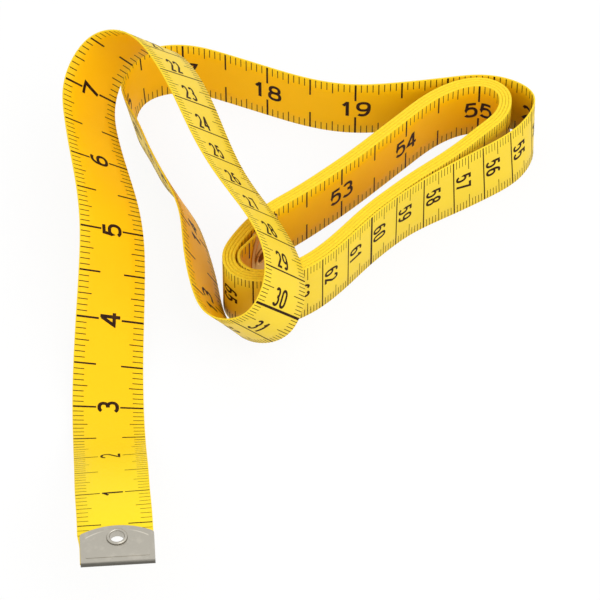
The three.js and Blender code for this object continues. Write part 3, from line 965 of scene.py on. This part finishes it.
def punch_holes(piece, line):
    """Cuts the eyelets' holes through both ends of the band."""
    radius = EYELET_BORE / 2 + EYELET_WALL + HOLE_PLAY
    cutters = []
    for far in (False, True):
        shape = bmesh.new()
        bmesh.ops.create_cone(shape, cap_ends=True, segments=HOLE_STEPS, radius1=radius, radius2=radius,
                              depth=HOLE_DEPTH)
        shape.transform(eyelet_place(line.end_matrix(far)))
        for face in shape.faces:
            face.material_index = CUT_EDGE
        mesh = bpy.data.meshes.new("punch")
        shape.to_mesh(mesh)
        shape.free()
        cutters.append(new_object("punch", mesh))
        modifier = piece.modifiers.new("hole", "BOOLEAN")
        modifier.operation = "DIFFERENCE"
        modifier.solver = "EXACT"
        modifier.object = cutters[-1]
    make_plain(piece)
    for cutter in cutters:
        bpy.data.objects.remove(cutter)


def rounded_copy(name, node, matrix):
    """A copy of a packed clip with its edges rounded, mapped on the clip's own face in millimetres."""
    to_clip = Matrix.Scale(1 / MM, 4) @ matrix.inverted()
    shape = bmesh.new()
    shape.from_mesh(frame["nodes"][node].data)
    shape.transform(to_clip)
    bmesh.ops.remove_doubles(shape, verts=shape.verts, dist=0.002)
    bmesh.ops.dissolve_limit(shape, angle_limit=math.radians(1.5), verts=shape.verts, edges=shape.edges)
    least = math.radians(35)
    sharp = [edge for edge in shape.edges if edge.is_manifold and edge.calc_face_angle() > least]
    bmesh.ops.bevel(shape, geom=sharp, offset=CLIP_ROUND, offset_type="OFFSET", segments=3, profile=0.5,
                    affect="EDGES", clamp_overlap=True)
    layer = shape.loops.layers.uv.new(CLIP_UV_NAME)
    for face in shape.faces:
        face.smooth = True
        for loop in face.loops:
            loop[layer].uv = loop.vert.co.xy
    shape.transform(to_clip.inverted())
    mesh = bpy.data.meshes.new(name)
    shape.to_mesh(mesh)
    shape.free()
    mesh.set_sharp_from_angle(angle=math.radians(28))
    return mesh


def eyelet_place(matrix):
    """Frame of an eyelet, in millimetres, at a clip's frame."""
    offset = Matrix.Translation((CLIP_SHIFT, EYELET_FROM_FOLD - CLIP_FOLD, 0))
    return matrix @ Matrix.Scale(MM, 4) @ offset


def eyelet_mesh(name, matrix):
    """An eyelet turned from its profile: a barrel and a rim rolled over on both faces."""
    bore, rim, seat = EYELET_BORE / 2, EYELET_RIM / 2, EYELET_SEAT
    middle = (bore + rim) / 2
    upper = []
    for i in range(ROLL_STEPS + 1):
        angle = math.pi * i / ROLL_STEPS
        upper.append((middle + (rim - middle) * math.cos(angle), seat + EYELET_ROLL * math.sin(angle)))
    lower = [(radius, -height) for radius, height in upper[::-1]]
    inside = [(bore, seat * share) for share in (0.6, 0.2, -0.2, -0.6)]
    under = [(bore + EYELET_WALL, -seat), (bore + EYELET_WALL, seat)]
    outline = upper + inside + lower + under
    shape = bmesh.new()
    layer = shape.loops.layers.uv.new(CLIP_UV_NAME)
    rings = []
    for step in range(EYELET_STEPS):
        angle = 2 * math.pi * step / EYELET_STEPS
        x, y = math.cos(angle), math.sin(angle)
        rings.append([shape.verts.new((r * x, r * y, z)) for r, z in outline])
    for here, there in zip(rings, rings[1:] + rings[:1]):
        for i in range(len(outline)):
            k = (i + 1) % len(outline)
            face = shape.faces.new((here[i], there[i], there[k], here[k]))
            face.smooth = True
    bmesh.ops.recalc_face_normals(shape, faces=shape.faces)
    for face in shape.faces:
        for loop in face.loops:
            loop[layer].uv = (math.atan2(loop.vert.co.y, loop.vert.co.x) * 2, loop.vert.co.xy.length)
    shape.transform(eyelet_place(matrix))
    mesh = bpy.data.meshes.new(name)
    shape.to_mesh(mesh)
    shape.free()
    mesh.set_sharp_from_angle(angle=math.radians(50))
    return mesh


def place_metal(mesh, material, node, body):
    """A clip or eyelet, named for its mesh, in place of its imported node."""
    mesh.materials.append(material)
    piece = new_object(mesh.name, mesh)
    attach(piece, body)
    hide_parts(node)


def get_settings():
    return bpy.context.scene.tape_measure


class TAPE_OT_stage(bpy.types.Operator):
    """Plain pale floor, soft studio light and the camera"""

    bl_idname = "tape.stage"
    bl_label = "Set the stage"

    def execute(self, context):
        stage = get_settings().stage
        scene = context.scene
        scene.view_settings.view_transform = "Standard"
        self.make_world(scene, stage.sky)
        self.make_floor(stage.floor)
        self.add_lamp("key_lamp", KEY_PLACE, stage.key, KEY_SIZE)
        self.add_lamp("fill_lamp", FILL_PLACE, stage.fill, FILL_SIZE)
        data = bpy.data.cameras.new("camera")
        data.sensor_width = CAMERA_SENSOR
        data.lens = CAMERA_LENS
        data.clip_start = CAMERA_NEAR
        camera = new_object("camera", data)
        camera.location = CAMERA_PLACE
        camera.rotation_euler = (math.radians(CAMERA_TILT), 0.0, 0.0)
        scene.camera = camera
        return {"FINISHED"}

    def seen_rays(self, board):
        rays = board.node("ShaderNodeLightPath")
        names = ("Is Camera Ray", "Is Glossy Ray", "Is Transmission Ray")
        first, second, third = [Wire(board, board.socket(rays.outputs, name)) for name in names]
        return board.math("MAXIMUM", board.math("MAXIMUM", first, second), third)

    def make_world(self, scene, strength):
        world = bpy.data.worlds.new("studio")
        world.use_nodes = True
        world.node_tree.nodes.clear()
        board = Board(world.node_tree)
        seen = self.seen_rays(board)
        level = strength + seen * (1.0 - strength)
        light = board.wire("ShaderNodeBackground", None, {"Color": WHITE, "Strength": level})
        board.node("ShaderNodeOutputWorld", None, {"Surface": light})
        scene.world = world

    def make_floor(self, colour):
        half = FLOOR_HALF
        mesh = bpy.data.meshes.new("floor")
        corners = [(-half, -half, 0.0), (half, -half, 0.0), (half, half, 0.0), (-half, half, 0.0)]
        mesh.from_pydata(corners, [], [(0, 1, 2, 3)])
        floor = new_object("floor", mesh)
        floor.location.z = -FLOOR_DROP
        material, board = material_board("pale_floor")
        seen = self.seen_rays(board)
        plain = board.wire("ShaderNodeBsdfDiffuse", None, {"Color": opaque(colour)})
        white = board.wire("ShaderNodeEmission", None, {"Color": WHITE, "Strength": 1.0})
        both = board.wire("ShaderNodeMixShader", None, {0: seen * FLOOR_GLOW, 1: plain, 2: white})
        board.node("ShaderNodeOutputMaterial", None, {"Surface": both})
        mesh.materials.append(material)

    def add_lamp(self, name, place, power, size):
        data = bpy.data.lights.new(name, "AREA")
        data.energy = power
        data.shape = "DISK"
        data.size = size
        lamp = new_object(name, data)
        lamp.location = place
        lamp.rotation_euler = (Vector(LAMP_TARGET) - Vector(place)).to_track_quat("-Z", "Y").to_euler()


class TAPE_OT_print_inches(bpy.types.Operator):
    """Inch marks and numerals on the inner face"""

    bl_idname = "tape.print_inches"
    bl_label = "Print the inches"

    def execute(self, context):
        settings = get_settings()
        band, sizes = settings.band, settings.prints
        line = TapeLine(band)
        ink = bpy.data.materials.get("ink") or ink_material(settings.colours)
        over = (math.pi, 0.0, 0.0)
        marks = {
            "Count": 949, "First": 6, "Spacing": INCH / 16, "Start": 0.0, "Turn": over,
            "Edge": band.width / 2 - sizes.margin, "Length": 2.75 * MM, "Thickness": 0.22 * MM,
            "Light Until": sizes.light_until,
            "Low Every": 4, "Low Length": 3.7 * MM, "Low Thickness": 0.26 * MM,
            "Middle Every": 8, "Middle Length": 5.8 * MM, "Middle Thickness": 0.46 * MM,
            "High Every": 16, "High Length": 6.0 * MM, "High Thickness": 0.54 * MM,
        }
        bold = digit_collection(sizes, "inch_digit")
        light = digit_collection(sizes, "light_digit")
        numerals = {
            "Spacing": INCH, "Start": 0.0, "Across": 0.0, "Turn": over, "Direction": (1.0, 0.0, 0.0),
            "Advance": sizes.inch_digit_width + INCH_DIGIT_GAP * MM,
        }
        tree = numerals_tree()
        layers = [
            (marks_tree(), marks),
            (tree, {**numerals, "Count": 2, "First": 1, "Digits": light}),
            (tree, {**numerals, "Count": 57, "First": 3, "Digits": bold}),
        ]
        print_piece("inch_print", line, 1, layers, ink, sizes.raise_height)
        remove_collection(bold)
        remove_collection(light)
        return {"FINISHED"}


class TAPE_OT_print_centimetres(bpy.types.Operator):
    """Centimetre marks and numerals on the outer face"""

    bl_idname = "tape.print_centimetres"
    bl_label = "Print the centimetres"

    def execute(self, context):
        settings = get_settings()
        band, sizes = settings.band, settings.prints
        line = TapeLine(band)
        ink = bpy.data.materials.get("ink") or ink_material(settings.colours)
        zero = CM_ZERO * MM
        full = band.width / 2 - sizes.margin
        marks = {
            "Count": 1505, "First": 10, "Spacing": MM, "Start": zero, "Turn": (0.0, 0.0, 0.0),
            "Edge": full, "Length": 2.7 * MM, "Thickness": 0.17 * MM, "Light Until": 0.0,
            "Low Every": 5, "Low Length": 4.6 * MM, "Low Thickness": 0.2 * MM,
            "Middle Every": 10, "Middle Length": full, "Middle Thickness": 0.38 * MM,
            "High Every": 300, "High Length": full, "High Thickness": 0.7 * MM,
        }
        digits = digit_collection(sizes, "cm_digit")
        numerals = {
            "Count": 149, "First": 2, "Spacing": CENTIMETRE, "Across": CM_NUMERAL_SHIFT * MM,
            "Start": zero - CM_NUMERAL_GAP * MM - sizes.cm_digit_height / 2,
            "Advance": sizes.cm_digit_width + CM_DIGIT_GAP * MM, "Direction": (0.0, 1.0, 0.0),
            "Turn": (0.0, 0.0, math.pi / 2), "Digits": digits,
        }
        layers = [(marks_tree(), marks), (numerals_tree(), numerals)]
        print_piece("centimetre_print", line, -1, layers, ink, sizes.raise_height)
        remove_collection(digits)
        return {"FINISHED"}


class TAPE_OT_lay_band(bpy.types.Operator):
    """The coated cloth band, in one piece from end to end"""

    bl_idname = "tape.lay_band"
    bl_label = "Lay the band"

    def execute(self, context):
        settings = get_settings()
        band, colours = settings.band, settings.colours
        line = TapeLine(band)
        mesh = band_mesh(line, band)
        inch, cm, edge = colours.inch_face, colours.cm_face, colours.cut_edge
        mesh.materials.append(face_material("inch_face", inch, colours.painted_lit_end, edge, INCH_GLOSS, band))
        mesh.materials.append(face_material("centimetre_face", cm, cm, edge, CENTIMETRE_GLOSS, band))
        mesh.materials.append(edge_material("cut_edge", edge))
        piece = new_object("tape_band", mesh)
        punch_holes(piece, line)
        bend_with_free_end(piece)
        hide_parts(*TAPE_NODES)
        return {"FINISHED"}


class TAPE_OT_fold_clips(bpy.types.Operator):
    """The two folded clips, with rounded edges"""

    bl_idname = "tape.fold_clips"
    bl_label = "Fold the clips"

    def execute(self, context):
        settings = get_settings()
        line = TapeLine(settings.band)
        colours = settings.colours
        bright = metal_material("plated_sheet", colours.metal, roughness=0.3, folded=True)
        # Painted reflection and shade: the far clip takes the orange-brown metal colour for the coil it
        # reflects and the shade it lies in.
        painted_reflection = metal_material("dull_sheet", colours.painted_reflection_metal, roughness=0.5, folded=True)
        for end, body, far in ENDS:
            node = f"{end}_clip"
            mesh = rounded_copy(f"{node}_sheet", node, line.end_matrix(far))
            place_metal(mesh, painted_reflection if far else bright, node, body)
        return {"FINISHED"}


class TAPE_OT_set_eyelets(bpy.types.Operator):
    """The two eyelets, turned with rolled rims"""

    bl_idname = "tape.set_eyelets"
    bl_label = "Set the eyelets"

    def execute(self, context):
        settings = get_settings()
        line = TapeLine(settings.band)
        colours = settings.colours
        bright = metal_material("plated_eyelet", colours.metal, roughness=0.2, folded=False)
        # Painted reflection and shade: the far eyelet takes the orange-brown metal colour for the coil it
        # reflects and the shade it lies in.
        painted_reflection = metal_material("dull_eyelet", colours.painted_reflection_metal, roughness=0.4, folded=False)
        for end, body, far in ENDS:
            node = f"{end}_eyelet"
            mesh = eyelet_mesh(f"{node}_ring", line.end_matrix(far))
            place_metal(mesh, painted_reflection if far else bright, node, body)
        return {"FINISHED"}


class TAPE_PT_panel(bpy.types.Panel):
    """Steps and settings of the tape measure"""

    bl_idname = "TAPE_PT_panel"
    bl_label = "Cloth tape measure"
    bl_space_type = "VIEW_3D"
    bl_region_type = "UI"
    bl_category = "Tape"

    def draw(self, context):
        for step in STEPS:
            self.layout.operator(step.bl_idname)
        settings = context.scene.tape_measure
        for group in (settings.band, settings.prints, settings.colours, settings.stage):
            box = self.layout.box()
            for name in group.__annotations__:
                box.prop(group, name)


STEPS = (
    TAPE_OT_stage, TAPE_OT_print_inches, TAPE_OT_print_centimetres, TAPE_OT_lay_band, TAPE_OT_fold_clips,
    TAPE_OT_set_eyelets,
)
GROUPS = (TapeBandSizes, TapePrintSizes, TapeColours, TapeStage, TapeSettings)


def register():
    for item in (*GROUPS, *STEPS, TAPE_PT_panel):
        bpy.utils.register_class(item)
    bpy.types.Scene.tape_measure = PointerProperty(type=TapeSettings)


def unregister():
    del bpy.types.Scene.tape_measure
    for item in (TAPE_PT_panel, *reversed(STEPS), *reversed(GROUPS)):
        bpy.utils.unregister_class(item)


def main():
    register()
    bpy.ops.tape.stage()
    bpy.ops.tape.print_inches()
    bpy.ops.tape.print_centimetres()
    bpy.ops.tape.lay_band()
    bpy.ops.tape.fold_clips()
    bpy.ops.tape.set_eyelets()


if __name__ == "__main__":
    main()
